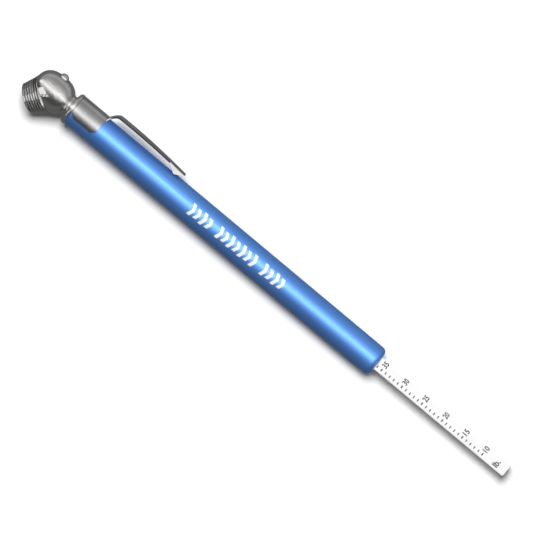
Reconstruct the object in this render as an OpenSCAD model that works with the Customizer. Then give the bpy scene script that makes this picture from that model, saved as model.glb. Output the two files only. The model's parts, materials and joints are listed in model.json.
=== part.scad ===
// Pencil tyre pressure gauge, lying on its side with the valve socket of its head on the ground.
// The barrel runs along X: the head is at the -X end and the indicator bar comes out at the +X end.
// Inside the modules x = 0 is the barrel's head end and the X axis is the barrel's own axis.

/* [Barrel] */
// Outside diameter of the barrel tube
barrel_d = 10.5; // [10:0.1:11]
// Wall of the barrel tube
barrel_wall = 0.6; // [0.5:0.05:0.7]
// Length of the barrel tube
barrel_l = 131.7; // [125:0.5:140]
// Outside radius of the turned-in tail end
tail_turn_r = 1.8; // [1.6:0.1:2]

/* [Head] */
// Diameter of the ball, square to the barrel
ball_d = 12.9; // [12.6:0.1:13.2]
// Length of the ball along the barrel, which makes it a little drum-shaped
ball_l = 14.7; // [14:0.1:15]
// Distance from the barrel's head end to the ball's centre
ball_back = 9.5; // [9.2:0.1:9.8]
// Radius of the neck behind the ball
neck_r = 3.7; // [3.4:0.1:4]
// Radius of the flange that the barrel butts against
flange_r = 5.93; // [5.85:0.01:6.1]
// Thickness of the flange's rim
flange_rim = 0.8; // [0.6:0.1:1]
// Length of the spigot inside the barrel
spigot_l = 5; // [4:0.1:5.2]
// Turn of the head and clip about the barrel, which lays the socket's whole length along the ground
head_roll = 15.5; // [14:0.5:17]

/* [Valve socket] */
// Angle between the socket's axis and the barrel's axis
socket_angle = 54.5; // [52:0.5:58]
// Distance from the ball's centre to the socket's mouth
mouth_u = 9.2; // [9:0.1:9.6]
// Outside radius of the mouth
mouth_r = 5.1; // [5:0.05:5.2]
// Radius of the bore that the valve stem goes into
socket_r = 4.15; // [4.1:0.01:4.2]
// Depth of that bore
socket_depth = 6.2; // [6:0.1:6.4]
// Radius of the socket's root, where it meets the ball
root_r = 6.4; // [6.2:0.05:6.5]
// Number of finger ribs round the socket
rib_count = 6; // [5:1:6]
// Distance from one rib to the next
rib_pitch = 0.9; // [0.85:0.01:0.92]
// Height of a rib above its groove
rib_h = 0.3; // [0.2:0.05:0.35]

/* [Pocket clip] */
// Length of the band round the barrel
band_l = 10.5; // [9:0.1:11]
// Thickness of the sheet that the clip is pressed from
sheet = 0.55; // [0.5:0.01:0.6]
// Angle that the band wraps round the barrel
band_wrap = 201; // [196:1:215]
// Width of the tongue
tongue_w = 3.9; // [3.6:0.1:4.5]
// Height of the tongue's back above the barrel's axis
tongue_top = 8.5; // [8.2:0.1:9]
// Distance from the barrel's head end to the tongue's tip
tongue_end = 42.5; // [40:0.5:45]
// How far the edges of the tongue turn down
tongue_depth = 0.75; // [0.7:0.05:1.2]

/* [Indicator bar] */
// Width of the square bar
bar_w = 4.77; // [4.6:0.01:4.8]
// Length of the bar
bar_l = 118; // [114:0.5:120]
// How far the bar stands out of the barrel
bar_out = 56.2; // [50:0.1:60]
// Chamfer along the bar's edges
bar_chamfer = 0.3; // [0.25:0.01:0.4]

/* [Spring and piston] */
// Outside diameter of the range spring
spring_d = 8.8; // [8.6:0.05:8.9]
// Wire of the range spring
wire_d = 0.75; // [0.7:0.01:0.8]
// Shear modulus of the spring wire, N/mm2
wire_shear_modulus = 79000; // [75000:500:82000]
// Bar travel for each psi of pressure
travel_per_psi = 1.75; // [1.6:0.05:1.9]
// Radial clearance of the piston cup in the barrel
cup_clearance = 0.05; // [0.03:0.01:0.08]

/* [Hidden] */
$fn = 64;
fit_gap = 0.02;
run_gap = 0.05;
over = 1;

barrel_r = barrel_d / 2;
bore_r = barrel_r - barrel_wall;
ball_r = ball_d / 2;
ball_power = 2.5;

// the socket: u runs out along its axis from the ball's centre
seat_u = mouth_u - socket_depth;
pocket_r = 3.7;
pocket_u = 1.3;
throat_r = 2.4;
air_r = 1.6;
disc_t = 0.6;
seal_lift = 0.1;
lip_u = mouth_u - 0.2;
ribs_from_u = mouth_u - 0.25;
root_u = 3.4;

// the deflator pin: its knob stands on the clip's side of the ball
knob_r = 1.7;
knob_out = 6;
knob_angle = 88.5;
shank_r = 0.9;
shank_l = 3.2;

// the clip
band_x = 0.1;
band_end = band_x + band_l;
band_chamfer = 1.5;
tongue_x = band_end + run_gap;
rise_end = 13.9;
crown_x = 18;
tip_drop = 1.2;
foot_half = 3.25;
foot_x = tongue_end - foot_half - 0.1;
foot_to = tongue_end - 0.2;
foot_touch = barrel_r + run_gap;

// everything along the barrel, at rest
contact_x = barrel_l + bar_out - bar_l;
boss_l = 2;
flange_t = 1.5;
flange_x = contact_x - boss_l - flange_t;
cup_base = 1.45;
cup_l = 4.95;
washer_t = 0.8;
bush_l = 6;
bush_x = barrel_l - 0.2 - bush_l;
seat_t = 0.8;
seat_x = bush_x - run_gap - seat_t;
spring_from = contact_x - boss_l + run_gap;
spring_to = seat_x - run_gap;
bush_hole = bar_w + 0.2;
leaf_pocket = 0.85;

// the spring's turns follow from its rate: 1 psi on the piston moves it travel_per_psi
newton_per_psi = 0.006895 * PI * pow(bore_r, 2);
spring_rate = newton_per_psi / travel_per_psi;
coil_d = spring_d - wire_d;
spring_turns = round(wire_shear_modulus * pow(wire_d, 4) / (8 * pow(coil_d, 3) * spring_rate)) + 2;

// where the frame's origin lies: under the middle of the whole object, on the ground
sin_s = sin(socket_angle);
cos_s = cos(socket_angle);
x_low = -ball_back - lip_u * cos_s - mouth_r * sin_s;
x_mid = (x_low + barrel_l + bar_out) / 2;
y_low = -lip_u * sin_s * cos(head_roll)
        - mouth_r * sqrt(pow(cos_s * cos(head_roll), 2) + pow(sin(head_roll), 2));
y_high = tongue_top * cos(head_roll) + tongue_w / 2 * sin(head_roll);
y_mid = (y_low + y_high) / 2;
rim_lean = sqrt(pow(cos_s * sin(head_roll), 2) + pow(cos(head_roll), 2));
axis_z = max(root_u * sin_s * sin(head_roll) + root_r * rim_lean,
             lip_u * sin_s * sin(head_roll) + mouth_r * rim_lean);

function arc(cx, cy, r, from, to, steps) =
    [for (i = [0:steps]) let (a = from + (to - from) * i / steps) [cx + r * cos(a), cy + r * sin(a)]];

// ---------- placing ----------

module along_barrel() {
    translate([-x_mid, -y_mid, axis_z]) children();
}

// turned with the head, so that the clip's side is +Y and the socket's side is -Y
module with_head() {
    along_barrel() rotate([head_roll, 0, 0]) children();
}

// Z runs out of the socket's mouth from the ball's centre
module on_socket() {
    with_head() translate([-ball_back, 0, 0]) rotate([0, 0, socket_angle])
        rotate([0, -90, 0]) rotate([0, 0, 180]) children();
}

// Z runs out through the deflator's knob from the ball's centre
module on_knob() {
    with_head() translate([-ball_back, 0, 0]) rotate([0, 0, knob_angle]) rotate([0, 90, 0]) children();
}

// a solid of revolution about the barrel, from [radius, x] points
module turned(points) {
    rotate([0, 90, 0]) rotate_extrude() polygon(points);
}

module ring_x(x, length, r_out, r_in) {
    turned([[r_in, x], [r_out, x], [r_out, x + length], [r_in, x + length]]);
}

// ---------- head ----------

// outside radius of the socket at u, without its ribs
function socket_skin(u) = mouth_r + (root_r - mouth_r) * (lip_u - u) / (lip_u - root_u);

rib_points = [for (i = [0:rib_count - 1])
    let (u = ribs_from_u - i * rib_pitch)
    each [[socket_skin(u), u], [socket_skin(u), u - 0.4 * rib_pitch],
          [socket_skin(u) - rib_h, u - 0.55 * rib_pitch], [socket_skin(u) - rib_h, u - 0.85 * rib_pitch]]];

module socket_body() {
    rotate_extrude() polygon(concat(
        [[0, mouth_u], [mouth_r - 0.25, mouth_u], [mouth_r, lip_u]],
        rib_points,
        [[root_r, root_u], [root_r - 0.05, root_u - 0.3], [5.2, 0.5], [0, 0.5]]));
}

// a ball drawn out along the barrel: its outline is a superellipse
module ball() {
    turned([for (i = [0:24]) let (t = i * 7.5, out = cos(t)) [ball_r * pow(sin(t), 2 / ball_power),
        -ball_back - ball_l / 2 * sign(out) * pow(abs(out), 2 / ball_power)]]);
}

module socket_hollow() {
    translate([0, 0, seat_u]) cylinder(r = socket_r, h = socket_depth + over);
    translate([0, 0, pocket_u]) cylinder(r = pocket_r, h = seat_u - pocket_u + over);
    translate([0, 0, -1]) cylinder(r = throat_r, h = pocket_u + 1 + over);
}

module neck_and_spigot() {
    groove = 1.1;
    flare_l = 0.9;
    turned([[0, -ball_back], [neck_r, -ball_back], [neck_r, -flange_rim - flare_l],
            [flange_r - 0.35, -flange_rim - 0.3], [flange_r, -flange_rim + 0.1], [flange_r, -0.25],
            [flange_r - 0.2, 0], [bore_r - fit_gap, 0],
            [bore_r - fit_gap, 2], [bore_r - 0.95, 2], [bore_r - 0.95, 2 + groove],
            [bore_r - fit_gap, 2 + groove], [bore_r - fit_gap, spigot_l - 0.4],
            [bore_r - 0.4, spigot_l], [0, spigot_l]]);
}

module chuck_head() {
    color("silver") difference() {
        union() {
            on_socket() socket_body();
            with_head() ball();
            with_head() neck_and_spigot();
        }
        on_socket() socket_hollow();
        with_head() translate([-ball_back, 0, 0]) rotate([0, 90, 0])
            cylinder(r = air_r, h = ball_back + spigot_l + over);
        on_knob() translate([0, 0, knob_out]) sphere(r = knob_r + fit_gap);
        on_knob() translate([0, 0, knob_out - shank_l - fit_gap])
            cylinder(r = shank_r + fit_gap, h = shank_l + over);
    }
}

module deflator_pin() {
    color("gainsboro") on_knob() union() {
        translate([0, 0, knob_out]) sphere(r = knob_r);
        translate([0, 0, knob_out - shank_l]) cylinder(r = shank_r, h = shank_l);
    }
}

module depressor_pin() {
    color("darkgoldenrod") on_socket() difference() {
        union() {
            translate([0, 0, pocket_u]) cylinder(r = pocket_r - fit_gap, h = disc_t);
            translate([0, 0, pocket_u]) cylinder(r = 0.75, h = seat_u + seal_lift - pocket_u);
        }
        for (a = [0:120:240])
            rotate([0, 0, a]) translate([1.6, 0, pocket_u - over]) cylinder(r = 0.5, h = disc_t + 2 * over);
    }
}

module chuck_seal() {
    foot = pocket_u + disc_t;
    color([0.12, 0.12, 0.12]) on_socket() difference() {
        translate([0, 0, foot]) cylinder(r = pocket_r - fit_gap, h = seat_u + seal_lift - foot);
        translate([0, 0, foot - over]) cylinder(r = 2.3, h = socket_depth);
    }
}

module head_o_ring() {
    section = 0.44;
    color([0.12, 0.12, 0.12]) along_barrel() rotate([0, 90, 0]) rotate_extrude()
        translate([bore_r - fit_gap - section, 2.55]) circle(r = section, $fn = 32);
}

// ---------- barrel ----------

module barrel() {
    turn_x = barrel_l - tail_turn_r;
    turn_y = barrel_r - tail_turn_r;
    color([0.13, 0.36, 0.8]) along_barrel() turned(concat(
        [[bore_r, 0], [barrel_r - 0.1, 0], [barrel_r, 0.1]],
        arc(turn_y, turn_x, tail_turn_r, 0, 90, 8),
        arc(turn_y, turn_x, tail_turn_r - barrel_wall, 90, 0, 8)));
}

// ---------- pocket clip ----------

// the ring, kept on the clip's side of its two free edges, whose corners are cut
module clip_band() {
    inner = barrel_r + fit_gap;
    outer = inner + sheet;
    edge_y = -outer * sin(band_wrap / 2 - 90);
    cut = band_chamfer;
    color("lightgray") with_head() intersection() {
        ring_x(band_x, band_l, outer, inner);
        linear_extrude(4 * outer, center = true)
            polygon([[band_x - over, 2 * outer], [band_end + over, 2 * outer],
                     [band_end + over, edge_y + cut + over], [band_end - cut, edge_y],
                     [band_x + cut, edge_y], [band_x - over, edge_y + cut + over]]);
    }
}

// height of the tongue's back above the barrel's axis at x: it rises off the band and levels out at
// rise_end, then bows down to the tip from crown_x on
function back_y(x) = x < crown_x
    ? tongue_top - (tongue_top - barrel_r - sheet) * pow(max(0, rise_end - x) / (rise_end - tongue_x), 2)
    : tongue_top - tip_drop * pow((x - crown_x) / (tongue_end - crown_x), 2);

function slope(x) = (back_y(x + 0.01) - back_y(x - 0.01)) / 0.02;

// a point on the underside, depth below the back and square to it
function under(x, depth) = let (s = slope(x), k = sqrt(1 + s * s))
    [x + depth * s / k, back_y(x) - depth / k];

rise_steps = [for (i = [0:8]) tongue_x + (rise_end - tongue_x) * i / 8];
run_steps = [for (i = [1:20]) rise_end + (tongue_end - rise_end) * i / 20];

module tongue_web() {
    xs = concat(rise_steps, run_steps);
    polygon(concat([for (x = xs) [x, back_y(x)]],
                   [for (i = [len(xs) - 1:-1:1]) under(xs[i], sheet)],
                   [[tongue_x, barrel_r + run_gap]]));
}

// a turned-down edge, which the foot's point takes down to the barrel
module tongue_wall() {
    foot_from = foot_x - foot_half;
    low = [for (x = run_steps) if (x < foot_from - 0.3) x];
    polygon(concat([for (x = run_steps) [x, back_y(x)]],
                   [[tongue_end, back_y(tongue_end) - sheet], [foot_to, back_y(foot_to) - sheet],
                    [foot_x + 0.25, foot_touch], [foot_x - 0.25, foot_touch],
                    [foot_from, back_y(foot_from) - tongue_depth]],
                   [for (i = [len(low) - 1:-1:0]) [low[i], back_y(low[i]) - tongue_depth]]));
}

module clip_tongue() {
    color("lightgray") with_head() {
        linear_extrude(tongue_w, center = true) tongue_web();
        for (side = [-1, 1])
            translate([0, 0, side * (tongue_w - sheet) / 2])
                linear_extrude(sheet, center = true) tongue_wall();
    }
}

// ---------- piston ----------

module piston_body() {
    color("darkgoldenrod") along_barrel() difference() {
        turned([[0, flange_x - cup_base], [1.9, flange_x - cup_base], [1.9, flange_x],
                [bore_r - 0.2, flange_x], [bore_r - 0.2, flange_x + flange_t],
                [3.3, flange_x + flange_t], [3.3, contact_x - 0.3], [3, contact_x], [0, contact_x]]);
        translate([flange_x - cup_base - over, 0, 0]) rotate([0, 90, 0])
            cylinder(r = 0.8 + fit_gap, h = over + 2.6);
    }
}

module piston_cup() {
    outer = bore_r - cup_clearance;
    back = flange_x;
    color([0.12, 0.12, 0.12]) along_barrel()
        turned([[1.9 + fit_gap, back], [outer - 0.3, back], [outer, back - 0.3], [outer, back - cup_l + 0.3],
                [outer - 0.3, back - cup_l], [outer - 0.6, back - cup_l], [outer - 0.6, back - cup_base],
                [1.9 + fit_gap, back - cup_base]]);
}

module cup_washer() {
    color("silver") along_barrel()
        ring_x(flange_x - cup_base - washer_t, washer_t, 3.6, 0.8 + fit_gap);
}

module piston_screw() {
    head_x = flange_x - cup_base - washer_t;
    color("silver") along_barrel() difference() {
        turned([[0, head_x - 0.9], [1.1, head_x - 0.9], [1.7, head_x - 0.4], [1.7, head_x],
                [0.8, head_x], [0.8, head_x + washer_t + 2.4], [0, head_x + washer_t + 2.4]]);
        translate([head_x - 0.9, 0, 0]) cube([0.8, 0.4, 4], center = true);
    }
}

// ---------- spring ----------

// how far along its length the spring is after turn t: one closed turn at each end
function spring_x(t) = let (
        closed = wire_d * 1.1,
        open = (spring_to - spring_from - wire_d - 2 * closed) / (spring_turns - 2))
    spring_from + wire_d / 2 + (t < 1 ? t * closed
        : t > spring_turns - 1 ? closed + (spring_turns - 2) * open + (t - spring_turns + 1) * closed
        : closed + (t - 1) * open);

module range_spring() {
    steps = 12;
    sides = 6;
    rings = spring_turns * steps;
    points = [for (i = [0:rings]) let (t = i / steps) for (j = [0:sides - 1])
        let (r = (coil_d + wire_d * cos(j * 360 / sides)) / 2)
        [spring_x(t) + wire_d / 2 * sin(j * 360 / sides), r * cos(t * 360), r * sin(t * 360)]];
    skin = [for (i = [0:rings - 1]) for (j = [0:sides - 1])
        let (k = (j + 1) % sides) each
        [[i * sides + j, i * sides + k, (i + 1) * sides + k],
         [i * sides + j, (i + 1) * sides + k, (i + 1) * sides + j]]];
    first = [for (j = [0:sides - 1]) sides - 1 - j];
    last = [for (j = [0:sides - 1]) rings * sides + j];
    color("gray") along_barrel() polyhedron(points, concat(skin, [first, last]));
}

module spring_seat() {
    color("silver") along_barrel() ring_x(seat_x, seat_t, bore_r - fit_gap, 3.42);
}

// ---------- bar and its guide ----------

module square_bar(x, length, width) {
    translate([x, -width / 2, -width / 2]) cube([length, width, width]);
}

module guide_bush() {
    turn_r = barrel_r - tail_turn_r;
    color("whitesmoke") along_barrel() difference() {
        turned([[0, bush_x], [bore_r - fit_gap, bush_x], [bore_r - fit_gap, barrel_l - tail_turn_r - 0.2],
                [turn_r - fit_gap, barrel_l - barrel_wall - fit_gap - 0.1],
                [turn_r - fit_gap, barrel_l - 0.2], [0, barrel_l - 0.2]]);
        square_bar(bush_x - over, bush_l + 2 * over, bush_hole);
        translate([bush_x + 0.7, -1.3, -bush_hole / 2 - leaf_pocket]) cube([4.2, 2.6, leaf_pocket + over]);
    }
}

// a bowed strip that rubs on the bar, so that the reading stays
module drag_leaf() {
    from = bush_x + 0.8;
    span = 4;
    thick = 0.2;
    low = -bush_hole / 2 - leaf_pocket + fit_gap;
    bow = -bar_w / 2 - 0.03 - thick - low;
    crest = [for (i = [0:10]) [from + span * i / 10, low + bow * sin(i * 18)]];
    color("silver") along_barrel() rotate([90, 0, 0]) linear_extrude(2.4, center = true)
        polygon(concat(crest, [for (i = [10:-1:0]) crest[i] + [0, thick]]));
}

// the bar's outline with its tip's corners cut
module bar_outline() {
    from = contact_x + run_gap + 2;
    to = barrel_l + bar_out;
    tip = 0.6;
    half = bar_w / 2;
    polygon([[from, -half], [to - tip, -half], [to, -half + tip],
             [to, half - tip], [to - tip, half], [from, half]]);
}

module indicator_bar() {
    from = contact_x + run_gap;
    to = barrel_l + bar_out;
    half = bar_w / 2;
    c = bar_chamfer;
    color("white") along_barrel() union() {
        intersection() {
            linear_extrude(bar_w, center = true) bar_outline();
            rotate([90, 0, 0]) linear_extrude(bar_w, center = true) bar_outline();
            translate([from, 0, 0]) rotate([90, 0, 90]) linear_extrude(to - from)
                polygon([[-half, -half + c], [-half + c, -half], [half - c, -half], [half, -half + c],
                         [half, half - c], [half - c, half], [-half + c, half], [-half, half - c]]);
        }
        translate([from, 0, 0]) rotate([0, 90, 0]) cylinder(r = 1.6, h = 2.5);
    }
}

module bar_stop() {
    color("silver") along_barrel() ring_x(contact_x + run_gap + 0.4, 1.55, 3.45, 1.6 + fit_gap);
}

chuck_head();
deflator_pin();
chuck_seal();
depressor_pin();
head_o_ring();
barrel();
clip_band();
clip_tongue();
piston_cup();
cup_washer();
piston_screw();
piston_body();
range_spring();
spring_seat();
guide_bush();
drag_leaf();
indicator_bar();
bar_stop();
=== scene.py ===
import json
import math

import bmesh
import bpy
import numpy as np
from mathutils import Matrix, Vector


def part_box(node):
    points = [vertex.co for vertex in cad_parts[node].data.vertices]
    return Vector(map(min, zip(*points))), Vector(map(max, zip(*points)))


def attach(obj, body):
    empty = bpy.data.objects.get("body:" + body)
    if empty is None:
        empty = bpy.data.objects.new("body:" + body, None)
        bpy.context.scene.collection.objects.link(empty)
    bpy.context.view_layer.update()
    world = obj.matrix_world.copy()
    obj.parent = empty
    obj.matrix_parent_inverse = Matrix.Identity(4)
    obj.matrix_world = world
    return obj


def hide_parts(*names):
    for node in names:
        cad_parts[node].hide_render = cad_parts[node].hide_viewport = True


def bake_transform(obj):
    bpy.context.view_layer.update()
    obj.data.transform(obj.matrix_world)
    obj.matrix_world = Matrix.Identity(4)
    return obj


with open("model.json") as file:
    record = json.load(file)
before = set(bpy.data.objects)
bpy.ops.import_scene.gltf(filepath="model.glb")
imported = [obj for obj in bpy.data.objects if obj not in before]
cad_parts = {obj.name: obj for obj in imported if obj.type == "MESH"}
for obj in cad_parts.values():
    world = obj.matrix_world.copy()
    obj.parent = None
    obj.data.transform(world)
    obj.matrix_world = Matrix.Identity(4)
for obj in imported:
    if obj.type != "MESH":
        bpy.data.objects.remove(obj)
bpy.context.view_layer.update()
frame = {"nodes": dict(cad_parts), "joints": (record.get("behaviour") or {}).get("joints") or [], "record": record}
print("frame loaded,", len(frame["nodes"]), "parts")

# shapes are worked out in millimetres and placed in metres
mm = 0.001

# the barrel's axis, the head's roll about it and the socket's direction all come from the frame
tubeLow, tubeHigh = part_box("barrel")
tubeLength = (tubeHigh.x - tubeLow.x) / mm
tubeRadius = (tubeHigh.z - tubeLow.z) / 2 / mm
headEnd = np.array([tubeLow.x, (tubeLow.y + tubeHigh.y) / 2, (tubeLow.z + tubeHigh.z) / 2])
flexJoint = next(joint for joint in frame["joints"] if joint["name"] == "clip_flex")
socketMount = next(mount for mount in frame["record"]["mounts"] if mount["name"] == "valve_socket")

alongTube, acrossTube, worldUp = np.eye(3)
headUp = np.array(flexJoint["axis"]) / np.linalg.norm(flexJoint["axis"])
clipSide = np.cross(headUp, alongTube)
headRoll = math.atan2(clipSide[2], clipSide[1])
socketOut = np.array(socketMount["axis"])
socketMiddle = np.array(socketMount["pos_m"])
ballCentre = socketMiddle - socketOut * (socketMiddle[1] - headEnd[1]) / socketOut[1]
mouthOut = np.linalg.norm(socketMiddle - ballCentre) / mm + socketMount["dims"]["length_mm"] / 2
ballBack = (headEnd[0] - ballCentre[0]) / mm
knobAngle = math.radians(88)
knobOut = math.cos(knobAngle) * alongTube + math.sin(knobAngle) * clipSide

# each frame is an origin and three directions; a turned shape has its axis along the third
tubeFrame = (headEnd, np.array([alongTube, acrossTube, worldUp]))
tubeSpin = (headEnd, np.array([acrossTube, worldUp, alongTube]))
headFrame = (headEnd, np.array([alongTube, clipSide, headUp]))
headSpin = (headEnd, np.array([clipSide, headUp, alongTube]))
socketSpin = (ballCentre, np.array([headUp, np.cross(socketOut, headUp), socketOut]))
knobSpin = (ballCentre, np.array([headUp, np.cross(knobOut, headUp), knobOut]))


# eases from 0 to 1 as t goes from 0 to 1: three t squared less two t cubed
def ease(t):
    t = np.clip(t, 0, 1)
    return t * t * (3 - 2 * t)


# an outline through corners (a, b, rounding): each rounded corner is an arc that touches both its sides
def rounded(corners, steps=5):
    points = [np.array(corners[0][:2], float)]
    for before, (a, b, radius), after in zip(corners, corners[1:], corners[2:]):
        corner = np.array([a, b], float)
        back = np.array(before[:2]) - corner
        on = np.array(after[:2]) - corner
        back, on = back / np.linalg.norm(back), on / np.linalg.norm(on)
        half = math.acos(np.clip(back @ on, -1, 1)) / 2
        if radius == 0 or half > 1.55:
            points.append(corner)
            continue
        centre = corner + (back + on) / np.linalg.norm(back + on) * radius / math.sin(half)
        start = corner + back * radius / math.tan(half) - centre
        end = corner + on * radius / math.tan(half) - centre
        sweep = math.pi - 2 * half
        s = np.linspace(0, 1, steps + 1)[:, None]
        arc = (np.sin((1 - s) * sweep) * start + np.sin(s * sweep) * end) / math.sin(sweep)
        points.extend(centre + arc)
    points.append(np.array(corners[-1][:2], float))
    return np.array(points)


# the same outline with extra points, so that no stretch is longer than step
def filled(points, step):
    counts = np.maximum(1, np.ceil(np.linalg.norm(np.diff(points, axis=0), axis=1) / step)).astype(int)
    index = np.repeat(np.arange(len(counts)), counts)
    part = np.concatenate([np.arange(count) / count for count in counts])
    run = points[index] + (points[index + 1] - points[index]) * part[:, None]
    return np.vstack([run, points[-1:]])


# a point at angle a and outline (r, h) is (r cos a, r sin a, h); crowd draws the columns towards one angle
def turnedGrid(outline, columns, crowd=0.0, crowdAngle=0.0):
    turn = np.linspace(0, 2 * math.pi, columns, endpoint=False)
    angle = turn - crowd * np.sin(turn - crowdAngle)
    radius, height = outline[:, :1], outline[:, 1:2]
    return np.stack([radius * np.cos(angle), radius * np.sin(angle), height + 0 * angle], -1)


# square faces between neighbours of a rows by columns grid, closed round where asked
def gridFaces(rows, columns, roundRows=False, roundColumns=False):
    row, column = np.meshgrid(np.arange(rows if roundRows else rows - 1),
                              np.arange(columns if roundColumns else columns - 1), indexing="ij")
    nextRow, nextColumn = (row + 1) % rows, (column + 1) % columns
    return np.stack([row * columns + column, nextRow * columns + column,
                     nextRow * columns + nextColumn, row * columns + nextColumn], -1).reshape(-1, 4)


# one grid of points in its frame, as (points in metres, faces, how much painted shade each point takes)
def shell(grid, place, roundRows=False, roundColumns=True, groove=None):
    origin, directions = place
    rows, columns = grid.shape[:2]
    points = origin + (grid.reshape(-1, 3) * mm) @ directions
    shadeValues = np.zeros(rows * columns) if groove is None else np.broadcast_to(groove, (rows, columns)).ravel()
    return points, gridFaces(rows, columns, roundRows, roundColumns), shadeValues


# a thin closed sheet between a top grid and a bottom grid: both faces, and a strip round the rim
def closedSheet(top, bottom, place):
    rows, columns = top.shape[:2]
    index = np.arange(rows * columns).reshape(rows, columns)
    rim = np.concatenate([index[0, :-1], index[:-1, -1], index[-1, :0:-1], index[:0:-1, 0]])
    onward = np.roll(rim, -1)
    faces = gridFaces(rows, columns)
    count = rows * columns
    strip = np.stack([rim, onward, onward + count, rim + count], -1)
    origin, directions = place
    points = origin + (np.concatenate([top.reshape(-1, 3), bottom.reshape(-1, 3)]) * mm) @ directions
    return points, np.concatenate([faces, faces[:, ::-1] + count, strip]), np.zeros(2 * count)


# one mesh object of several shells, doubles merged and faces turned outwards
def piece(name, shells, material):
    allPoints, allFaces, allShadeValues = zip(*shells)
    starts = np.cumsum([0] + [len(part) for part in allPoints[:-1]])
    points = np.concatenate(allPoints)
    faces = np.concatenate([part + start for part, start in zip(allFaces, starts)])
    shadeValues = np.concatenate(allShadeValues)
    mesh = bpy.data.meshes.new(name)
    mesh.vertices.add(len(points))
    mesh.vertices.foreach_set("co", points.astype(np.float32).ravel())
    mesh.loops.add(faces.size)
    mesh.loops.foreach_set("vertex_index", faces.astype(np.int32).ravel())
    mesh.polygons.add(len(faces))
    mesh.polygons.foreach_set("loop_start", np.arange(0, faces.size, 4, dtype=np.int32))
    mesh.update(calc_edges=True)
    # the painted-shade values ride on the mesh as a point attribute
    mesh.attributes.new("groove", "FLOAT", "POINT").data.foreach_set("value", shadeValues.astype(np.float32))
    work = bmesh.new()
    work.from_mesh(mesh)
    bmesh.ops.remove_doubles(work, verts=work.verts, dist=0.0002 * mm)
    bmesh.ops.dissolve_degenerate(work, edges=work.edges, dist=0.0001 * mm)
    bmesh.ops.recalc_face_normals(work, faces=work.faces)
    work.to_mesh(mesh)
    work.free()
    mesh.shade_smooth()
    mesh.materials.append(material)
    made = bpy.data.objects.new(name, mesh)
    bpy.context.scene.collection.objects.link(made)
    return made


# the modifiers of a piece worked into its mesh
def applied(made):
    bpy.context.view_layer.update()
    mesh = bpy.data.meshes.new_from_object(made.evaluated_get(bpy.context.evaluated_depsgraph_get()))
    made.modifiers.clear()
    made.data = mesh
    return made


# a material with its node tree, its surface shader, and object coordinates in metres
def finish(name, **values):
    material = bpy.data.materials.new(name)
    material.use_nodes = True
    tree = material.node_tree
    shader = tree.nodes["Principled BSDF"]
    for socket, value in values.items():
        shader.inputs[socketNames[socket]].default_value = value
    return material, tree, shader


socketNames = {"colour": "Base Color", "metal": "Metallic", "rough": "Roughness", "ior": "IOR",
               "coat": "Coat Weight", "coatRough": "Coat Roughness", "spec": "Specular IOR Level",
               "scatter": "Subsurface Weight", "scatterScale": "Subsurface Scale"}


# noise on object coordinates; stretch is how many times a metre the pattern repeats along x, y and z
def noise(tree, stretch, detail=3.0, rough=0.55, distortion=0.0):
    coords = tree.nodes.new("ShaderNodeTexCoord")
    mapping = tree.nodes.new("ShaderNodeMapping")
    mapping.inputs["Scale"].default_value = stretch
    texture = tree.nodes.new("ShaderNodeTexNoise")
    texture.inputs["Scale"].default_value = 1.0
    texture.inputs["Detail"].default_value = detail
    texture.inputs["Roughness"].default_value = rough
    texture.inputs["Distortion"].default_value = distortion
    tree.links.new(coords.outputs["Object"], mapping.inputs["Vector"])
    tree.links.new(mapping.outputs["Vector"], texture.inputs["Vector"])
    return texture.outputs["Fac"]


def ranged(tree, source, low, high, fromLow=0.3, fromHigh=0.7):
    node = tree.nodes.new("ShaderNodeMapRange")
    node.inputs["From Min"].default_value = fromLow
    node.inputs["From Max"].default_value = fromHigh
    node.inputs["To Min"].default_value = low
    node.inputs["To Max"].default_value = high
    tree.links.new(source, node.inputs["Value"])
    return node.outputs["Result"]


def mixed(tree, share, first, second):
    node = tree.nodes.new("ShaderNodeMix")
    node.data_type = "RGBA"
    tree.links.new(share, node.inputs["Factor"])
    for socket, value in ((node.inputs[6], first), (node.inputs[7], second)):
        if isinstance(value, tuple):
            socket.default_value = (*value, 1)
        else:
            tree.links.new(value, socket)
    return node.outputs[2]


def added(tree, first, second, how="ADD"):
    node = tree.nodes.new("ShaderNodeMath")
    node.operation = how
    for socket, value in zip(node.inputs, (first, second)):
        if isinstance(value, (int, float)):
            socket.default_value = value
        else:
            tree.links.new(value, socket)
    return node.outputs[0]


def bumped(tree, shader, height, distance, strength=1.0, onto=None):
    node = tree.nodes.new("ShaderNodeBump")
    node.inputs["Strength"].default_value = strength
    node.inputs["Distance"].default_value = distance
    tree.links.new(height, node.inputs["Height"])
    if onto is not None:
        tree.links.new(onto, node.inputs["Normal"])
    tree.links.new(node.outputs["Normal"], shader.inputs["Normal"])
    return node.outputs["Normal"]


# reads the painted-shade attribute: how much shade is painted at each point
def grooveDepth(tree):
    node = tree.nodes.new("ShaderNodeAttribute")
    node.attribute_name = "groove"
    return node.outputs["Fac"]


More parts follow.
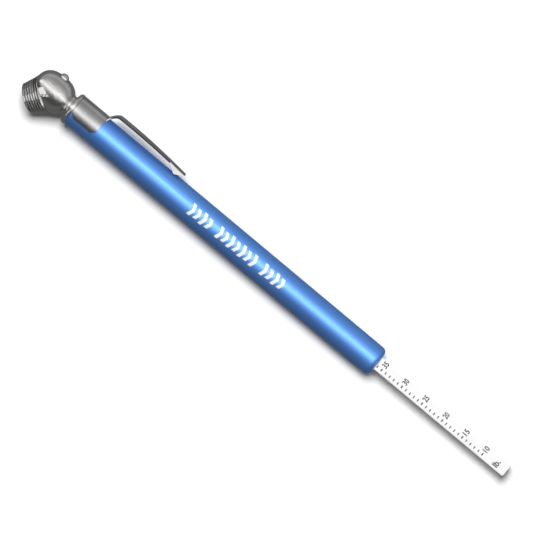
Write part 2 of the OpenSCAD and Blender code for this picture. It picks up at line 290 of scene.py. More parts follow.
# bright plate over a die casting: the casting's slow waves show in the reflections, fine pits and handling
# marks break the gloss, and shade is painted dark grey into the grooves, crease, countersink and cut edges, with
# duller gloss there
def chromePlate(name, waves, colour, gloss):
    material, tree, shader = finish(name, metal=1.0)
    marks = noise(tree, (900, 900, 900), 4)
    blotch = noise(tree, (160, 160, 160), 2)
    paintedShadeHere = grooveDepth(tree)
    tone = mixed(tree, ranged(tree, blotch, 0, 1), colour, tuple(0.86 * c for c in colour))
    # painted shade: where the attribute is high the plate's colour is mixed towards dark grey
    tone = mixed(tree, paintedShadeHere, tone, (0.16, 0.16, 0.155))
    tree.links.new(tone, shader.inputs["Base Color"])
    dull = added(tree, ranged(tree, marks, *gloss), added(tree, paintedShadeHere, 0.2, "MULTIPLY"))
    tree.links.new(dull, shader.inputs["Roughness"])
    slow = bumped(tree, shader, noise(tree, (420, 420, 420), 2, 0.5, 0.6), waves)
    bumped(tree, shader, noise(tree, (5200, 5200, 5200), 2), 0.000004, 0.5, slow)
    return material


# dyed oxide on drawn aluminium tube: a satin metal that takes the dye's colour, with faint draw lines
# along the tube, slow changes of depth in the dye and a thin clear seal over it
def blueAnodised():
    material, tree, shader = finish("blueAnodised", metal=0.84, spec=0.3, coat=0.2, coatRough=0.4)
    dye = noise(tree, (18, 60, 60), 3)
    drawn = noise(tree, (25, 2600, 2600), 4, 0.6)
    grain = noise(tree, (2600, 2600, 2600), 3)
    deep = mixed(tree, ranged(tree, dye, 0, 1), (0.130, 0.340, 0.86), (0.115, 0.310, 0.81))
    tone = mixed(tree, ranged(tree, drawn, 0, 0.35), deep, (0.16, 0.41, 0.89))
    tree.links.new(tone, shader.inputs["Base Color"])
    dull = added(tree, ranged(tree, drawn, 0.53, 0.61), ranged(tree, grain, -0.02, 0.02))
    tree.links.new(dull, shader.inputs["Roughness"])
    lines = bumped(tree, shader, drawn, 0.0000035)
    bumped(tree, shader, grain, 0.000003, 0.6, lines)
    return material


# drawn and moulded nylon: off-white, faintly cloudy, with long soft die lines
def whiteNylon(name, colour):
    material, tree, shader = finish(name, scatter=0.12, scatterScale=0.0006, ior=1.53)
    shader.inputs["Subsurface Radius"].default_value = (1.0, 0.9, 0.8)
    cloud = noise(tree, (130, 400, 400), 3)
    lines = noise(tree, (20, 3000, 3000), 3)
    tone = mixed(tree, ranged(tree, cloud, 0, 1), colour, tuple(0.965 * c for c in colour))
    tree.links.new(tone, shader.inputs["Base Color"])
    tree.links.new(ranged(tree, lines, 0.36, 0.46), shader.inputs["Roughness"])
    first = bumped(tree, shader, lines, 0.000003)
    bumped(tree, shader, noise(tree, (3500, 3500, 3500), 2), 0.000004, 0.6, first)
    return material


# moulded rubber: soot black, dry, with a fine skin
def blackRubber():
    material, tree, shader = finish("blackRubber", spec=0.35)
    bloom = noise(tree, (700, 700, 700), 4)
    tone = mixed(tree, ranged(tree, bloom, 0, 1), (0.018, 0.018, 0.018), (0.042, 0.041, 0.040))
    tree.links.new(tone, shader.inputs["Base Color"])
    tree.links.new(ranged(tree, bloom, 0.5, 0.68), shader.inputs["Roughness"])
    bumped(tree, shader, noise(tree, (4200, 4200, 4200), 3), 0.00001)
    return material


# a turned metal: fine tool rings across the axis, a little staining, gloss broken by the rings
def turnedMetal(name, colour, stain, gloss):
    material, tree, shader = finish(name, metal=1.0)
    rings = noise(tree, (7000, 60, 60), 2)
    patches = noise(tree, (500, 500, 500), 4)
    tone = mixed(tree, ranged(tree, patches, 0, 1, 0.4, 0.75), colour, stain)
    tree.links.new(tone, shader.inputs["Base Color"])
    tree.links.new(ranged(tree, rings, *gloss), shader.inputs["Roughness"])
    bumped(tree, shader, rings, 0.000004)
    return material


# ink on the bar: dark grey, thin in places where it has rubbed
def scaleInk():
    material, tree, shader = finish("scaleInk", rough=0.55)
    rubbed = noise(tree, (1500, 1500, 1500), 4)
    tone = mixed(tree, ranged(tree, rubbed, 0, 1, 0.45, 0.8), (0.045, 0.045, 0.05), (0.20, 0.20, 0.205))
    tree.links.new(tone, shader.inputs["Base Color"])
    tree.links.new(ranged(tree, rubbed, 0.5, 0.65), shader.inputs["Roughness"])
    bumped(tree, shader, rubbed, 0.000002)
    return material


# white screen print on the barrel, with a mesh's fine grain
def whitePrint():
    material, tree, shader = finish("whitePrint", ior=1.48)
    grain = noise(tree, (2600, 2600, 2600), 3)
    tone = mixed(tree, ranged(tree, grain, 0, 1, 0.45, 0.8), (0.90, 0.92, 0.94), (0.70, 0.78, 0.90))
    tree.links.new(tone, shader.inputs["Base Color"])
    tree.links.new(ranged(tree, grain, 0.34, 0.5), shader.inputs["Roughness"])
    bumped(tree, shader, grain, 0.000003)
    return material


castChrome = chromePlate("castChrome", 0.00013, (0.84, 0.83, 0.82), (0.08, 0.17))
pressedChrome = chromePlate("pressedChrome", 0.00003, (0.74, 0.74, 0.74), (0.11, 0.20))
anodised = blueAnodised()
barNylon = whiteNylon("barNylon", (0.89, 0.89, 0.885))
bushNylon = whiteNylon("bushNylon", (0.84, 0.84, 0.83))
rubber = blackRubber()
brass = turnedMetal("turnedBrass", (0.80, 0.58, 0.25), (0.50, 0.34, 0.15), (0.2, 0.34))
steel = turnedMetal("plainSteel", (0.62, 0.62, 0.63), (0.42, 0.41, 0.40), (0.22, 0.38))
ink = scaleInk()
screenPrint = whitePrint()
print("finishes made")


head = {
    "ballRadius": 6.44, "ballNose": 7.15, "ballHeel": 7.5, "ballPower": 2.5, "blend": 44,
    "creaseWidth": 0.3,
    "throat": 2.4, "pocket": 3.7, "pocketFrom": 1.3, "leadIn": 0.3,
    "rimFlat": 4.83, "mouthRadius": 5.08, "lip": 0.2, "rootRadius": 6.38, "rootAt": 3.4,
    "ribs": 6, "ribPitch": 0.9, "ribHeight": 0.3, "ribsFrom": 0.25, "ribUneven": 0.05,
    "neckRadius": 3.7, "flangeRadius": 5.92, "spigot": 5.0, "spigotInset": 0.62, "airHole": 1.6,
    "ringFrom": 2.0, "ringTo": 3.1, "ringDepth": 0.93,
}
knob = {"radius": 1.7, "at": 5.98, "shank": 0.9, "shankEnd": 2.85, "sink": 0.3, "sinkEdge": 0.3}
bore = socketMount["dims"]["r_mm"]
seatAt = mouthOut - socketMount["dims"]["length_mm"]


# how far the ball's skin lies from its centre in a direction: (along / half) to the power p plus
# (across / radius) to the power p is 1, with along and across measured from the barrel's axis, and half
# the nose's length or the heel's
def ballReach(direction):
    h = head
    along = direction @ (socketSpin[1] @ alongTube)
    across = np.sqrt(np.clip(1 - along ** 2, 0, 1))
    half = np.where(along < 0, h["ballNose"], h["ballHeel"])
    return ((np.abs(along) / half) ** h["ballPower"]
            + (across / h["ballRadius"]) ** h["ballPower"]) ** (-1 / h["ballPower"])


# radius of the socket's outside at height u, without its ribs: a cone from the lip to the root
def socketSkin(u):
    h = head
    share = (mouthOut - h["lip"] - u) / (mouthOut - h["lip"] - h["rootAt"])
    return h["mouthRadius"] + (h["rootRadius"] - h["mouthRadius"]) * np.maximum(share, 0)


# one shell turned about the socket's axis: throat, pocket, bore, lip, finger ribs, root and ball. a rib's
# share of its pitch is flat, then eases down into the groove and up again. outside, each point lies as
# far out as the socket or the ball, whichever is further, with the crease between them filled a little
def socketAndBall():
    h = head
    first = mouthOut - h["ribsFrom"]
    inside = rounded([(0, -1, 0), (h["throat"], -1, 0.2), (h["throat"], h["pocketFrom"], 0.1),
                      (h["pocket"], h["pocketFrom"], 0.1), (h["pocket"], seatAt, 0.12), (bore, seatAt, 0.1),
                      (bore, mouthOut - 1.5 * h["leadIn"], 0.3), (bore + h["leadIn"], mouthOut, 0.08),
                      (h["rimFlat"], mouthOut, 0.12), (h["mouthRadius"], mouthOut - h["lip"], 0.1),
                      (socketSkin(first), first, 0)])
    u = np.linspace(first, first - h["ribs"] * h["ribPitch"], h["ribs"] * 14 + 1)
    phase = (first - u) / h["ribPitch"] % 1
    valley = ease((phase - 0.3) / 0.25) * (1 - ease((phase - 0.78) / 0.22))
    ribs = np.stack([socketSkin(u) - h["ribHeight"] * valley, u], -1)
    root = rounded([(socketSkin(u[-1]), u[-1], 0), (h["rootRadius"], h["rootAt"], 0.1),
                    (h["rootRadius"] - 0.2, h["rootAt"] - 0.3, 0.2), (4.8, 1.5, 0)], 4)
    turn = np.linspace(math.atan2(4.8, 1.5), math.pi, 116)[1:]
    ball = np.stack([np.sin(turn), np.cos(turn)], -1)
    inside, root = filled(inside, 0.5), filled(root, 0.13)
    outline = np.vstack([inside[:-1], ribs[:-1], root, ball])
    valleys = np.concatenate([np.zeros(len(inside) - 1), valley[:-1], np.zeros(len(root) + len(ball))])
    # the knob's side gets the closest columns
    grid = turnedGrid(outline, 208, 0.5, -math.pi / 2)
    # an uneven casting: each groove deepens and fills a little as it goes round
    wobble = sum(size * np.sin(times * np.arctan2(grid[..., 1], grid[..., 0]) + slant * grid[..., 2])
                 for size, times, slant in ((1, 5, 2.1), (0.7, 11, -3.3)))
    grid[..., :2] *= (1 - h["ribUneven"] * valleys[:, None] * wobble / 5)[..., None]
    outside = grid[len(inside):]
    far = np.linalg.norm(outside, axis=-1, keepdims=True)
    reach = ballReach(outside / far)[..., None]
    outside *= (far ** h["blend"] + reach ** h["blend"]) ** (1 / h["blend"]) / far
    # painted shade along the crease where the socket meets the ball
    creaseShade = np.zeros(grid.shape[:2])
    creaseShade[len(inside):] = np.exp(-((far - reach)[..., 0] / h["creaseWidth"]) ** 2)
    # a countersink round the deflator's knob
    knobAxis = socketSpin[1] @ knobOut
    out = grid @ knobAxis
    away = np.linalg.norm(grid - out[..., None] * knobAxis, axis=-1)
    sunk = (1 - ease((away - knob["radius"] - 0.1) / knob["sinkEdge"])) * (out > 0)
    sunk[:-len(ball)] = 0
    grid *= (1 - knob["sink"] * sunk / h["ballRadius"])[..., None]
    # painted shade: the rib valleys, the knob's countersink and the crease are painted darker
    groove = np.clip(valleys[:, None] * 0.75 + sunk * 0.9 + creaseShade * 0.6, 0, 1)
    return shell(grid, socketSpin, groove=groove)


# one shell turned about the barrel's axis: the neck, the bead that it flares into, which the barrel butts
# against, and the spigot with its ring groove
def neckAndSpigot():
    h = head
    inner = tubeRadius - h["spigotInset"]
    floor = inner - h["ringDepth"]
    neck, bead = h["neckRadius"], h["flangeRadius"]
    ballEnd = h["ballHeel"] - ballBack
    outline = rounded([(0, ballEnd - 3.7, 0), (neck + 0.5, ballEnd - 3.7, 0),
                       (neck + 0.5, ballEnd - 1.45, 0), (neck, ballEnd - 0.55, 0.5),
                       (neck, -1.85, 0.25), (bead - 0.5, -1.55, 0.5), (bead, -0.85, 0.6),
                       (bead, -0.12, 0.3), (bead - 0.3, 0.06, 0.12), (inner, 0.06, 0.05),
                       (inner, h["ringFrom"], 0.08), (floor, h["ringFrom"], 0.1),
                       (floor, h["ringTo"], 0.1), (inner, h["ringTo"], 0.08),
                       (inner, h["spigot"] - 0.4, 0.1), (inner - 0.38, h["spigot"], 0.1),
                       (h["airHole"], h["spigot"], 0.15), (h["airHole"], ballEnd - 3, 0.2),
                       (0, ballEnd - 3, 0)])
    return shell(turnedGrid(filled(outline, 0.3), 128), headSpin)


# the knob is a dome on a short waist and a shank
def deflatorKnob():
    turn = np.linspace(math.pi / 2, -0.35, 22)
    dome = np.stack([knob["radius"] * np.cos(turn), knob["at"] + knob["radius"] * np.sin(turn)], -1)
    dome[0, 0] = 0
    foot = rounded([tuple(dome[-1]) + (0,), (knob["shank"], knob["at"] - 0.8, 0.1),
                    (knob["shank"], knob["shankEnd"], 0.2), (0, knob["shankEnd"], 0)])
    return shell(turnedGrid(np.vstack([dome, filled(foot, 0.4)[1:]]), 64), knobSpin)


# the seal is a rubber washer with a soft lip standing a little into the socket
def valveSeal():
    top = seatAt + 0.1
    outline = rounded([(2.3, 1.95, 0), (3.66, 1.95, 0.1), (3.66, top - 0.05, 0.15), (3.1, top, 0.2),
                       (2.75, top - 0.12, 0.2), (2.3, top - 0.02, 0.15), (2.3, 1.95, 0)])
    return shell(turnedGrid(filled(outline, 0.2)[:-1], 96), socketSpin, roundRows=True)


# the pin that opens the valve: a disc under the seal with a round-nosed stem
def depressorPin():
    outline = rounded([(0, 1.32, 0), (3.66, 1.32, 0.1), (3.66, 1.88, 0.1), (1.1, 1.88, 0.15),
                       (0.75, 2.1, 0.15), (0.75, seatAt + 0.08, 0.35), (0, seatAt + 0.08, 0)])
    return shell(turnedGrid(filled(outline, 0.2), 64), socketSpin)


chuckHead = piece("chuckHead", [socketAndBall(), neckAndSpigot()], castChrome)
chuckKnob = piece("deflatorKnob", [deflatorKnob()], castChrome)
chuckSeal = piece("valveSeal", [valveSeal()], rubber)
chuckPin = piece("valvePin", [depressorPin()], brass)
for made, node in ((chuckHead, "chuck_head"), (chuckKnob, "deflator_pin"), (chuckSeal, "chuck_seal"),
                   (chuckPin, "depressor_pin")):
    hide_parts(node)
    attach(made, "gauge_body")
print("head made")


barrel = {"wall": 0.6, "tailRadius": 1.8, "edge": 0.12}


# the tube's wall as one closed outline turned about its axis, its tail end rolled in round the bush
def barrelTube():
    b = barrel
    inside = tubeRadius - b["wall"]
    mouth = tubeRadius - b["tailRadius"]
    turnAt = tubeLength - b["tailRadius"]
    turn = np.linspace(0, math.pi / 2, 15)
    roll = np.stack([mouth + b["tailRadius"] * np.cos(turn), turnAt + b["tailRadius"] * np.sin(turn)], -1)
    thin = b["tailRadius"] - b["wall"]
    under = np.stack([mouth + thin * np.cos(turn), turnAt + thin * np.sin(turn)], -1)[::-1]
    start = rounded([(inside, 3, 0), (inside, 0, 0.1), (tubeRadius, 0, b["edge"]), (tubeRadius, 3, 0)])
    lip = rounded([tuple(roll[-1]) + (0,), (mouth - 0.02, tubeLength, 0.14),
                   (mouth - 0.02, tubeLength - b["wall"], 0.14), tuple(under[0]) + (0,)])
    outline = np.vstack([start, roll[:-1], lip, under[1:], [[inside, 3]]])
    return shell(turnedGrid(filled(outline, 2.5)[:-1], 160), tubeSpin, roundRows=True)


tube = piece("barrelTube", [barrelTube()], anodised)
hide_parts("barrel")
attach(tube, "gauge_body")

# an all-over tread of chevron blocks in three groups stands where a customer's print would go
tread = {"from": 50.7, "pitch": 2.44, "groups": (4, 7, 4), "width": 1.55, "height": 4.6, "lean": 0.85,
         "turn": 0.09, "film": 0.016}


# a block's point at (a, b), both 0 to 1: a runs along the barrel and b round it, and the block leans
# forward to its middle, so that x = start + width a + lean (1 - |2b - 1|)
def treadBlock(start, share):
    a, b = np.meshgrid(np.linspace(0, 1, 7), np.linspace(0, 1, 25), indexing="ij")
    arc = tread["height"] * share / tubeRadius
    angle = math.pi / 2 + tread["turn"] + (0.5 - b) * arc
    x = start + (tread["width"] - 0.25) * a + tread["lean"] * (1 - np.abs(2 * b - 1))
    high = [np.stack([x, radius * np.cos(angle), radius * np.sin(angle)], -1)
            for radius in (tubeRadius + tread["film"], tubeRadius - 0.01)]
    return closedSheet(high[0], high[1], tubeFrame)


blocks = []
place = tread["from"]
for group in tread["groups"]:
    for number in range(group):
        blocks.append(treadBlock(place, 1.0 if number % 2 == 0 else 0.82))
        place += tread["pitch"]
    place += tread["pitch"] * 0.9
treadPrint = piece("treadPrint", blocks, screenPrint)
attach(treadPrint, "gauge_body")
print("barrel made")


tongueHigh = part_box("clip_tongue")[1]
bandLow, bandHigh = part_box("clip_band")
clip = {
    "sheet": 0.55, "gap": 0.02, "corner": 1.5, "width": 3.9, "riseTo": 13.9, "top": 8.6,
    "crownAt": 18.0, "tipDrop": 1.2, "edgeDrop": 0.1, "rootFillet": 1.1, "cutEdge": 0.85,
    "taperFrom": 20.0, "taperTo": 38.0, "tipWidth": 2.9,
    "footHalf": 3.25, "footFlare": 0.28, "tipCorner": 0.9, "bevel": 0.08, "sideColumns": 24,
}
clip["back"] = tubeRadius + clip["gap"] + clip["sheet"]
clip["from"] = (bandLow.x - headEnd[0]) / mm
clip["bandEnd"] = (bandHigh.x - headEnd[0]) / mm
clip["tip"] = (tongueHigh.x - headEnd[0]) / mm
clip["footAt"] = clip["tip"] - clip["footHalf"] - 0.1
clip["wrap"] = 2 * (math.acos((bandLow.y - headEnd[1]) / mm / clip["back"]) - headRoll)


# height of the tongue's ridge above the axis: it rises off the band and levels out, one less one minus t
# squared, then bows down to the tip
def backHeight(x):
    c = clip
    t = np.clip((x - c["bandEnd"]) / (c["riseTo"] - c["bandEnd"]), 0, 1)
    rise = c["back"] + (c["top"] - c["back"]) * (1 - (1 - t) ** 2)
    bow = c["top"] - c["tipDrop"] * np.clip((x - c["crownAt"]) / (c["tip"] - c["crownAt"]), 0, 1) ** 2
    return np.where(x < c["crownAt"], rise, bow)


# half the tongue's width at x, eased from its root's to its tip's
def tongueHalf(x):
    share = ease((x - clip["taperFrom"]) / (clip["taperTo"] - clip["taperFrom"]))
    return (clip["width"] + (clip["tipWidth"] - clip["width"]) * share) / 2


# outside of the clip at x, where the sheet is half as wide as width and share runs over it from -1 to 1.
# it is round on the band; as the tongue rises it turns into a low crown, whose drop goes with the square
# of the distance from its ridge
def clipSkin(x, width, share):
    c = clip
    flat = ease((x - c["bandEnd"] + 0.5) / (c["riseTo"] - c["bandEnd"] + 2.0))
    angle = width * share / c["back"]
    y = backHeight(x) - (1 - flat) * c["back"] * (1 - np.cos(angle)) - flat * c["edgeDrop"] * share ** 2
    return np.stack([x, y, (1 - flat) * c["back"] * np.sin(angle) + flat * width * share], -1)


# band and tongue share the columns where the tongue leaves, so the two grids weld into one sheet
def clipShells():
    c = clip
    half = c["width"] / 2
    root = half + c["rootFillet"]
    share = np.linspace(-1, 1, 41)
    middle = root * share
    reach = c["back"] * c["wrap"] / 2
    along = filled(np.array([[c["from"], 0], [c["from"] + c["corner"], 0],
                             [c["bandEnd"] - c["corner"], 0], [c["bandEnd"], 0]]), 0.3)[:, 0]
    corner = np.minimum(1, np.minimum(along - c["from"], c["bandEnd"] - along) / c["corner"])
    edge = reach - c["corner"] * (1 - corner)
    right = root + (edge - root) * np.linspace(0, 1, c["sideColumns"] + 1)[1:, None]
    s = np.concatenate([-right[::-1], np.repeat(middle[:, None], len(along), 1), right]).T
    x = np.repeat(along[:, None], s.shape[1], 1)
    angle = s / c["back"]
    band = np.stack([x, c["back"] * np.cos(angle), c["back"] * np.sin(angle)], -1)
    long = c["tip"] - c["bandEnd"]
    out = np.concatenate([np.linspace(0, c["rootFillet"], 9), np.linspace(c["rootFillet"], 3.4, 12)[1:],
                          np.linspace(3.4, long - c["tipCorner"], 70)[1:],
                          long - c["tipCorner"] * (1 - np.sin(np.linspace(0, 1.5, 7)[1:]))])
    fillet = np.clip(out / c["rootFillet"], 0, 1)
    tipShare = np.clip((out - out[-1] + c["tipCorner"]) / c["tipCorner"], 0, 1)
    width = (tongueHalf(c["bandEnd"] + out) + c["rootFillet"] * (1 - np.sqrt(1 - (1 - fillet) ** 2))
             - c["tipCorner"] * (1 - np.sqrt(1 - tipShare ** 2)))
    tongue = clipSkin(c["bandEnd"] + out[:, None] + 0 * share, width[:, None], share)
    tongue[0] = band[-1, c["sideColumns"]:-c["sideColumns"]]
    # the tongue's cut edges are duller than its face, and painted dark grey as shade
    edgeShade = c["cutEdge"] * (np.abs(share) == 1) * np.clip(out[:, None] - 1, 0, 1)
    return [shell(band, headFrame, roundColumns=False),
            shell(tongue, headFrame, roundColumns=False, groove=edgeShade)]


# a side ear of the foot, flush with the crown's edge: a V that flares outwards as it comes down and stops
# just off the barrel. its lower edge follows the distance from the V's middle, rounded at the point
def footEar(side):
    c = clip
    x = np.linspace(c["footAt"] - c["footHalf"], c["footAt"] + c["footHalf"] - 0.1, 49)
    away = np.sqrt(((x - c["footAt"]) / c["footHalf"]) ** 2 + 0.003)
    top = backHeight(x) - c["edgeDrop"] - 0.12
    low = top - 0.35 - (top - 0.35 - tubeRadius - 0.06) * np.clip(1.03 - away, 0, 1)
    y = top[:, None] + (low - top)[:, None] * np.linspace(0, 1, 13)
    z = tongueHalf(x)[:, None] + c["footFlare"] * (top[:, None] - y)
    outer = np.stack([x[:, None] + 0 * y, y, side * z], -1)
    inner = outer - np.array([0, 0.1, side * (c["sheet"] - 0.1)])
    return closedSheet(outer, inner, headFrame)


clipSheet = piece("pocketClip", clipShells(), pressedChrome)
wall = clipSheet.modifiers.new("thickness", "SOLIDIFY")
wall.thickness = clip["sheet"] * mm
wall.offset = -1
wall.use_even_offset = True
soften = clipSheet.modifiers.new("edges", "BEVEL")
soften.width = clip["bevel"] * mm
soften.segments = 2
soften.limit_method = "ANGLE"
soften.angle_limit = math.radians(50)
level = clipSheet.modifiers.new("normals", "WEIGHTED_NORMAL")
level.weight = 90
applied(clipSheet)
ears = piece("clipFoot", [footEar(1), footEar(-1)], pressedChrome)
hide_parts("clip_band", "clip_tongue")
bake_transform(clipSheet)
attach(ears, "tongue")
print("pocket clip made")


barLow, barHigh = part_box("indicator_bar")
bar = {"round": 0.34, "tipRound": 0.6, "stub": 1.6, "stubLength": 2.0}
bar["half"] = (barHigh.z - barLow.z) / 2 / mm
bar["from"] = (barLow.x - headEnd[0]) / mm
bar["tip"] = (barHigh.x - headEnd[0]) / mm


# a square with rounded corners carried along the bar; at each end its rows close in to the middle, the
# tip's first along a quarter round
def barShell():
    h, c = bar["half"], bar["round"]
    corner = np.linspace(0, math.pi / 2, 6)
    quarter = np.stack([h - c + c * np.cos(corner), h - c + c * np.sin(corner)], -1)
    side = np.stack([np.linspace(h - c, c - h, 9)[1:-1], np.full(7, h)], -1)
    arc = np.vstack([quarter, side])
    turns = [np.array([[math.cos(q), math.sin(q)], [-math.sin(q), math.cos(q)]])
             for q in np.arange(4) * math.pi / 2]
    section = np.vstack([arc @ turn for turn in turns])
    roll = np.linspace(0, math.pi / 2, 8)
    start = bar["from"] + bar["stubLength"]
    x = np.concatenate([[start] * 4, np.linspace(start, bar["tip"] - bar["tipRound"], 60)[1:],
                        bar["tip"] - bar["tipRound"] * (1 - np.sin(roll[1:])), [bar["tip"]] * 3])
    scale = np.concatenate([[0, 0.4, 0.8, 1], np.ones(59),
                            1 - bar["tipRound"] * (1 - np.cos(roll[1:])) * 0.55 / h, [0.6, 0.3, 0]])
    grid = np.concatenate([np.broadcast_to(x[:, None, None], (len(x), len(section), 1)),
                           section[None] * scale[:, None, None]], -1)
    return shell(grid, tubeFrame)


def barStub():
    r = bar["stub"]
    end = bar["from"] + bar["stubLength"] + 0.5
    outline = rounded([(0, bar["from"], 0), (r, bar["from"], 0.2), (r, end, 0), (0, end, 0)])
    return shell(turnedGrid(filled(outline, 0.4), 48), tubeSpin)


scaleBar = piece("scaleBar", [barShell(), barStub()], barNylon)
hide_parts("indicator_bar")
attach(scaleBar, "bar")

marks = {
    "perPsi": 1.75, "firstAt": 4.35, "numbers": range(10, 55, 5), "ticks": range(10, 51),
    "numberLong": 2.05, "numberWide": 1.9, "numberAt": 1.19,
    "tickLong": 0.38, "tickWide": 0.95, "tickAt": -0.95, "fifthLonger": 1.25,
    "unit": "lb.", "unitAt": 4.35, "unitLong": 2.2, "unitWide": 2.4, "unitAcross": -0.3,
    "film": 0.012, "weight": 0.026,
}


# distance of a pressure's mark from the bar's tip, on the way back towards the head
def markBack(pressure):
    return (pressure - marks["firstAt"]) * marks["perPsi"]


# a word as a thin solid, set with its line across the bar and its tops towards the head
def lettering(word, back, across, long, wide, face):
    curve = bpy.data.curves.new("word", "FONT")
    curve.body = word
    curve.extrude = 0.5
    curve.offset = marks["weight"]
    curve.resolution_u = 4
    holder = bpy.data.objects.new("word", curve)
    bpy.context.scene.collection.objects.link(holder)
    bpy.context.view_layer.update()
    mesh = bpy.data.meshes.new_from_object(holder.evaluated_get(bpy.context.evaluated_depsgraph_get()))
    flat = np.zeros(len(mesh.vertices) * 3)
    mesh.vertices.foreach_get("co", flat)
    flat = flat.reshape(-1, 3)
    low, high = flat.min(0), flat.max(0)
    unit = (flat - (low + high) / 2) / (high - low)
    mesh.calc_loop_triangles()
    triangles = np.zeros(len(mesh.loop_triangles) * 3, np.int32)
    mesh.loop_triangles.foreach_get("vertices", triangles)
    bpy.data.objects.remove(holder)
    bpy.data.meshes.remove(mesh)
    points = np.stack([bar["tip"] - back - unit[:, 1] * long, across + unit[:, 0] * wide,
                       bar["half"] + marks["film"] * unit[:, 2]], -1)
    return facedPoints(points, face), triangles.reshape(-1, 3)


# turned about the bar's axis to one of its four faces
def facedPoints(points, face):
    c, s = math.cos(face * math.pi / 2), math.sin(face * math.pi / 2)
    turn = np.array([[1, 0, 0], [0, c, s], [0, -s, c]])
    return points @ turn


def tick(pressure, face):
    long = marks["tickLong"] * (marks["fifthLonger"] if pressure % 5 == 0 else 1)
    a, b = np.meshgrid(np.linspace(-0.5, 0.5, 2), np.linspace(-0.5, 0.5, 3), indexing="ij")
    x = bar["tip"] - markBack(pressure) + long * a
    y = marks["tickAt"] + marks["tickWide"] * b
    top, bottom = (facedPoints(np.stack([x, y, 0 * x + bar["half"] + h], -1), face)
                   for h in (marks["film"] / 2, -marks["film"] / 2))
    points, faces = closedSheet(top, bottom, tubeFrame)[:2]
    return points, np.concatenate([faces[:, [0, 1, 2]], faces[:, [0, 2, 3]]])


# all the marks of one face as one thin mesh: five-pound numbers, a tick a pound, and the unit
def printedScale(name, face):
    m = marks
    origin, directions = tubeFrame
    marked = [tick(pressure, face) for pressure in m["ticks"]]
    words = [(str(pressure), markBack(pressure), m["numberAt"], m["numberLong"], m["numberWide"])
             for pressure in m["numbers"]]
    words.append((m["unit"], m["unitAt"], m["unitAcross"], m["unitLong"], m["unitWide"]))
    for word in words:
        points, triangles = lettering(*word, face)
        marked.append((origin + (points * mm) @ directions, triangles))
    allPoints, allTriangles = zip(*marked)
    starts = np.cumsum([0] + [len(part) for part in allPoints[:-1]])
    points = np.concatenate(allPoints)
    triangles = np.concatenate([part + start for part, start in zip(allTriangles, starts)])
    mesh = bpy.data.meshes.new(name)
    mesh.from_pydata(points.tolist(), [], triangles.tolist())
    work = bmesh.new()
    work.from_mesh(mesh)
    bmesh.ops.remove_doubles(work, verts=work.verts, dist=0.0005 * mm)
    bmesh.ops.recalc_face_normals(work, faces=work.faces)
    work.to_mesh(mesh)
    work.free()
    mesh.materials.append(ink)
    made = bpy.data.objects.new(name, mesh)
    bpy.context.scene.collection.objects.link(made)
    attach(made, "bar")


printedScale("scalePrintTop", 0)
printedScale("scalePrintUnder", 2)
print("indicator bar made")


springLow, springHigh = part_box("range_spring")
spring = {"wire": 0.75, "turns": 24, "steps": 28, "sides": 10}
spring["radius"] = (springHigh.z - springLow.z) / 2 / mm - spring["wire"] / 2
spring["from"] = (springLow.x - headEnd[0]) / mm + spring["wire"] / 2
spring["to"] = (springHigh.x - headEnd[0]) / mm - spring["wire"] / 2


# a round wire carried along a helix: the first and last turns lie closed, the others share what is
# left, and the wire's ends are rounded off
def springShell():
    s = spring
    turn = np.linspace(0, s["turns"], s["turns"] * s["steps"] + 1)
    closed = s["wire"] * 1.1
    pitch = (s["to"] - s["from"] - 2 * closed) / (s["turns"] - 2)
    x = (s["from"] + closed * np.clip(turn, 0, 1) + pitch * np.clip(turn - 1, 0, s["turns"] - 2)
         + closed * np.clip(turn - s["turns"] + 1, 0, 1))
    around = np.linspace(0, 2 * math.pi, s["sides"], endpoint=False)
    thick = np.full(len(turn), s["wire"] / 2)
    thick[[0, -1]] = 0
    thick[[1, -2]] *= 0.8
    radius = s["radius"] + thick[:, None] * np.cos(around)
    angle = 2 * math.pi * turn[:, None]
    grid = np.stack([x[:, None] + thick[:, None] * np.sin(around), radius * np.cos(angle),
                     radius * np.sin(angle)], -1)
    return shell(grid, tubeFrame)


rangeSpring = piece("rangeSpring", [springShell()], steel)
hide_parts("range_spring")
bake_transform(rangeSpring)

# the other inner parts keep their own shapes and take a finish
for node, material in {
    "head_o_ring": rubber, "piston_cup": rubber, "cup_washer": steel, "piston_screw": steel,
    "piston_body": brass, "spring_seat": steel, "guide_bush": bushNylon, "drag_leaf": steel,
    "bar_stop": steel,
}.items():
    kept = frame["nodes"][node].data
    kept.materials.clear()
    kept.materials.append(material)
print("inner parts finished")


studio = {
    "floorSize": 9.0, "floorTone": 0.93, "ambient": 0.10, "viewTurn": 39.88, "viewAt": (89.04, 0.36, 1402),
    "lens": 270.0,
    "key": {"tilt": 21, "turn": 130, "distance": 2.4, "size": 1.05, "power": 68.0},
    "glow": {"tilt": 3.5, "turn": 90, "distance": 2.4, "size": 0.3, "power": 38.0},
    "window": {"tilt": 50, "turn": 233, "distance": 2.4, "size": 1.5, "power": 7.0},
}

# what the metal mirrors, from straight down on the socket's side (-180) over the top (0) to straight down
# on the clip's side (180): degrees from the vertical across the barrel, and how bright it is there
room = [(-180, 0.12), (-110, 0.12), (-90, 0.14), (-65, 0.08), (-45, 0.08), (-30, 0.14), (-18, 0.42),
        (-9, 0.76), (0, 1.16), (8, 1.24), (17, 1.02), (28, 0.72), (38, 0.50), (50, 0.40), (62, 0.33),
        (75, 0.30), (87, 0.42), (100, 0.36), (112, 0.20), (125, 0.14), (145, 0.18), (180, 0.12)]


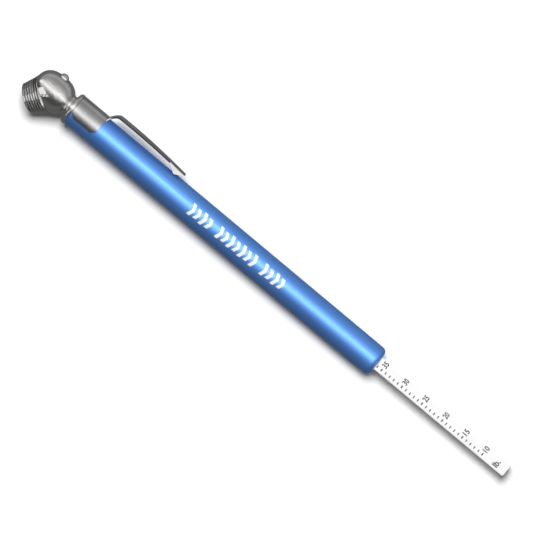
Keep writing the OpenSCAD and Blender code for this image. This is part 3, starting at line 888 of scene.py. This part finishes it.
# the floor carries both the head and the barrel's tail, so it slopes up by that small angle
def paleFloor():
    half = studio["floorSize"] / 2
    touchHead = ballCentre[0]
    slope = (tubeLow.z - 0.00002) / (tubeHigh.x - touchHead)
    a, b = np.meshgrid(np.linspace(-half, half, 3), np.linspace(-half, half, 3), indexing="ij")
    points = np.stack([a, b, (a - touchHead) * slope - 0.00002], -1).reshape(-1, 3)
    mesh = bpy.data.meshes.new("paleFloor")
    mesh.from_pydata(points.tolist(), [], gridFaces(3, 3).tolist())
    material, tree, shader = finish("paleFloor", rough=0.9, spec=0.1)
    speck = noise(tree, (300, 300, 300), 3)
    tone = studio["floorTone"]
    tree.links.new(mixed(tree, ranged(tree, speck, 0, 1), (tone,) * 3, (tone * 0.992,) * 3),
                   shader.inputs["Base Color"])
    mesh.materials.append(material)
    floor = bpy.data.objects.new("paleFloor", mesh)
    bpy.context.scene.collection.objects.link(floor)
    floor.visible_glossy = False


# a square area light at a tilt from straight up and a turn about it, facing the middle of the object
def softbox(name, tilt, turn, distance, size, power):
    tilt, turn = math.radians(tilt), math.radians(turn)
    light = bpy.data.lights.new(name, "AREA")
    light.size = size
    light.energy = power
    holder = bpy.data.objects.new(name, light)
    away = Vector((math.sin(tilt) * math.cos(turn), math.sin(tilt) * math.sin(turn), math.cos(tilt)))
    holder.location = away * distance
    holder.rotation_euler = away.to_track_quat("Z", "Y").to_euler()
    holder.visible_camera = False
    bpy.context.scene.collection.objects.link(holder)
    return holder


def background(tree, strength):
    node = tree.nodes.new("ShaderNodeBackground")
    node.inputs["Color"].default_value = (1, 1, 1, 1)
    node.inputs["Strength"].default_value = strength
    return node


# the surroundings: pale to the eye, dim for the floor's fill, and for mirror rays the room above, looked up
# by the angle atan2(y, z) of the ray
def surroundings():
    world = bpy.data.worlds.new("studio")
    bpy.context.scene.world = world
    world.use_nodes = True
    tree = world.node_tree
    tree.nodes.clear()
    output = tree.nodes.new("ShaderNodeOutputWorld")
    coords = tree.nodes.new("ShaderNodeTexCoord")
    split = tree.nodes.new("ShaderNodeSeparateXYZ")
    tree.links.new(coords.outputs["Generated"], split.inputs[0])
    angle = tree.nodes.new("ShaderNodeMath")
    angle.operation = "ARCTAN2"
    tree.links.new(split.outputs["Y"], angle.inputs[0])
    tree.links.new(split.outputs["Z"], angle.inputs[1])
    ramp = tree.nodes.new("ShaderNodeValToRGB")
    tree.links.new(ranged(tree, angle.outputs[0], 0, 1, -math.pi, math.pi), ramp.inputs["Fac"])
    stops = ramp.color_ramp.elements
    for number, (degrees, bright) in enumerate(room):
        place = degrees / 360 + 0.5
        stop = stops[number] if number < 2 else stops.new(place)
        stop.position = place
        stop.color = (bright, bright, bright, 1)
    mirrored = background(tree, 1)
    tree.links.new(ramp.outputs["Color"], mirrored.inputs["Color"])
    rays = tree.nodes.new("ShaderNodeLightPath")
    indirect = tree.nodes.new("ShaderNodeMixShader")
    seen = tree.nodes.new("ShaderNodeMixShader")
    tree.links.new(rays.outputs["Is Glossy Ray"], indirect.inputs["Fac"])
    tree.links.new(background(tree, studio["ambient"]).outputs[0], indirect.inputs[1])
    tree.links.new(mirrored.outputs[0], indirect.inputs[2])
    tree.links.new(rays.outputs["Is Camera Ray"], seen.inputs["Fac"])
    tree.links.new(indirect.outputs[0], seen.inputs[1])
    tree.links.new(background(tree, 0.95).outputs[0], seen.inputs[2])
    tree.links.new(seen.outputs[0], output.inputs["Surface"])


paleFloor()
surroundings()
# the key lights the floor and the plastic; the glow only draws the satin streak along the tube, and the
# window only the sparkle on the casting's socket side
keyLight = softbox("keyLight", **studio["key"])
keyLight.visible_glossy = False
for name, settings, lit in (("glowLight", studio["glow"], [tube]),
                            ("windowLight", studio["window"], [chuckHead, chuckKnob])):
    light = softbox(name, **settings)
    light.visible_diffuse = False
    receivers = bpy.data.collections.new(name + "Receivers")
    for made in lit:
        receivers.objects.link(made)
    light.light_linking.receiver_collection = receivers
bpy.context.scene.view_settings.view_transform = "Standard"

cameraData = bpy.data.cameras.new("camera")
cameraData.lens = studio["lens"]
cameraData.clip_end = 50
camera = bpy.data.objects.new("camera", cameraData)
camera.location = headEnd + np.array(studio["viewAt"]) * mm
camera.rotation_euler = (0, 0, math.radians(studio["viewTurn"]))
bpy.context.scene.collection.objects.link(camera)
bpy.context.scene.camera = camera
print("studio made")
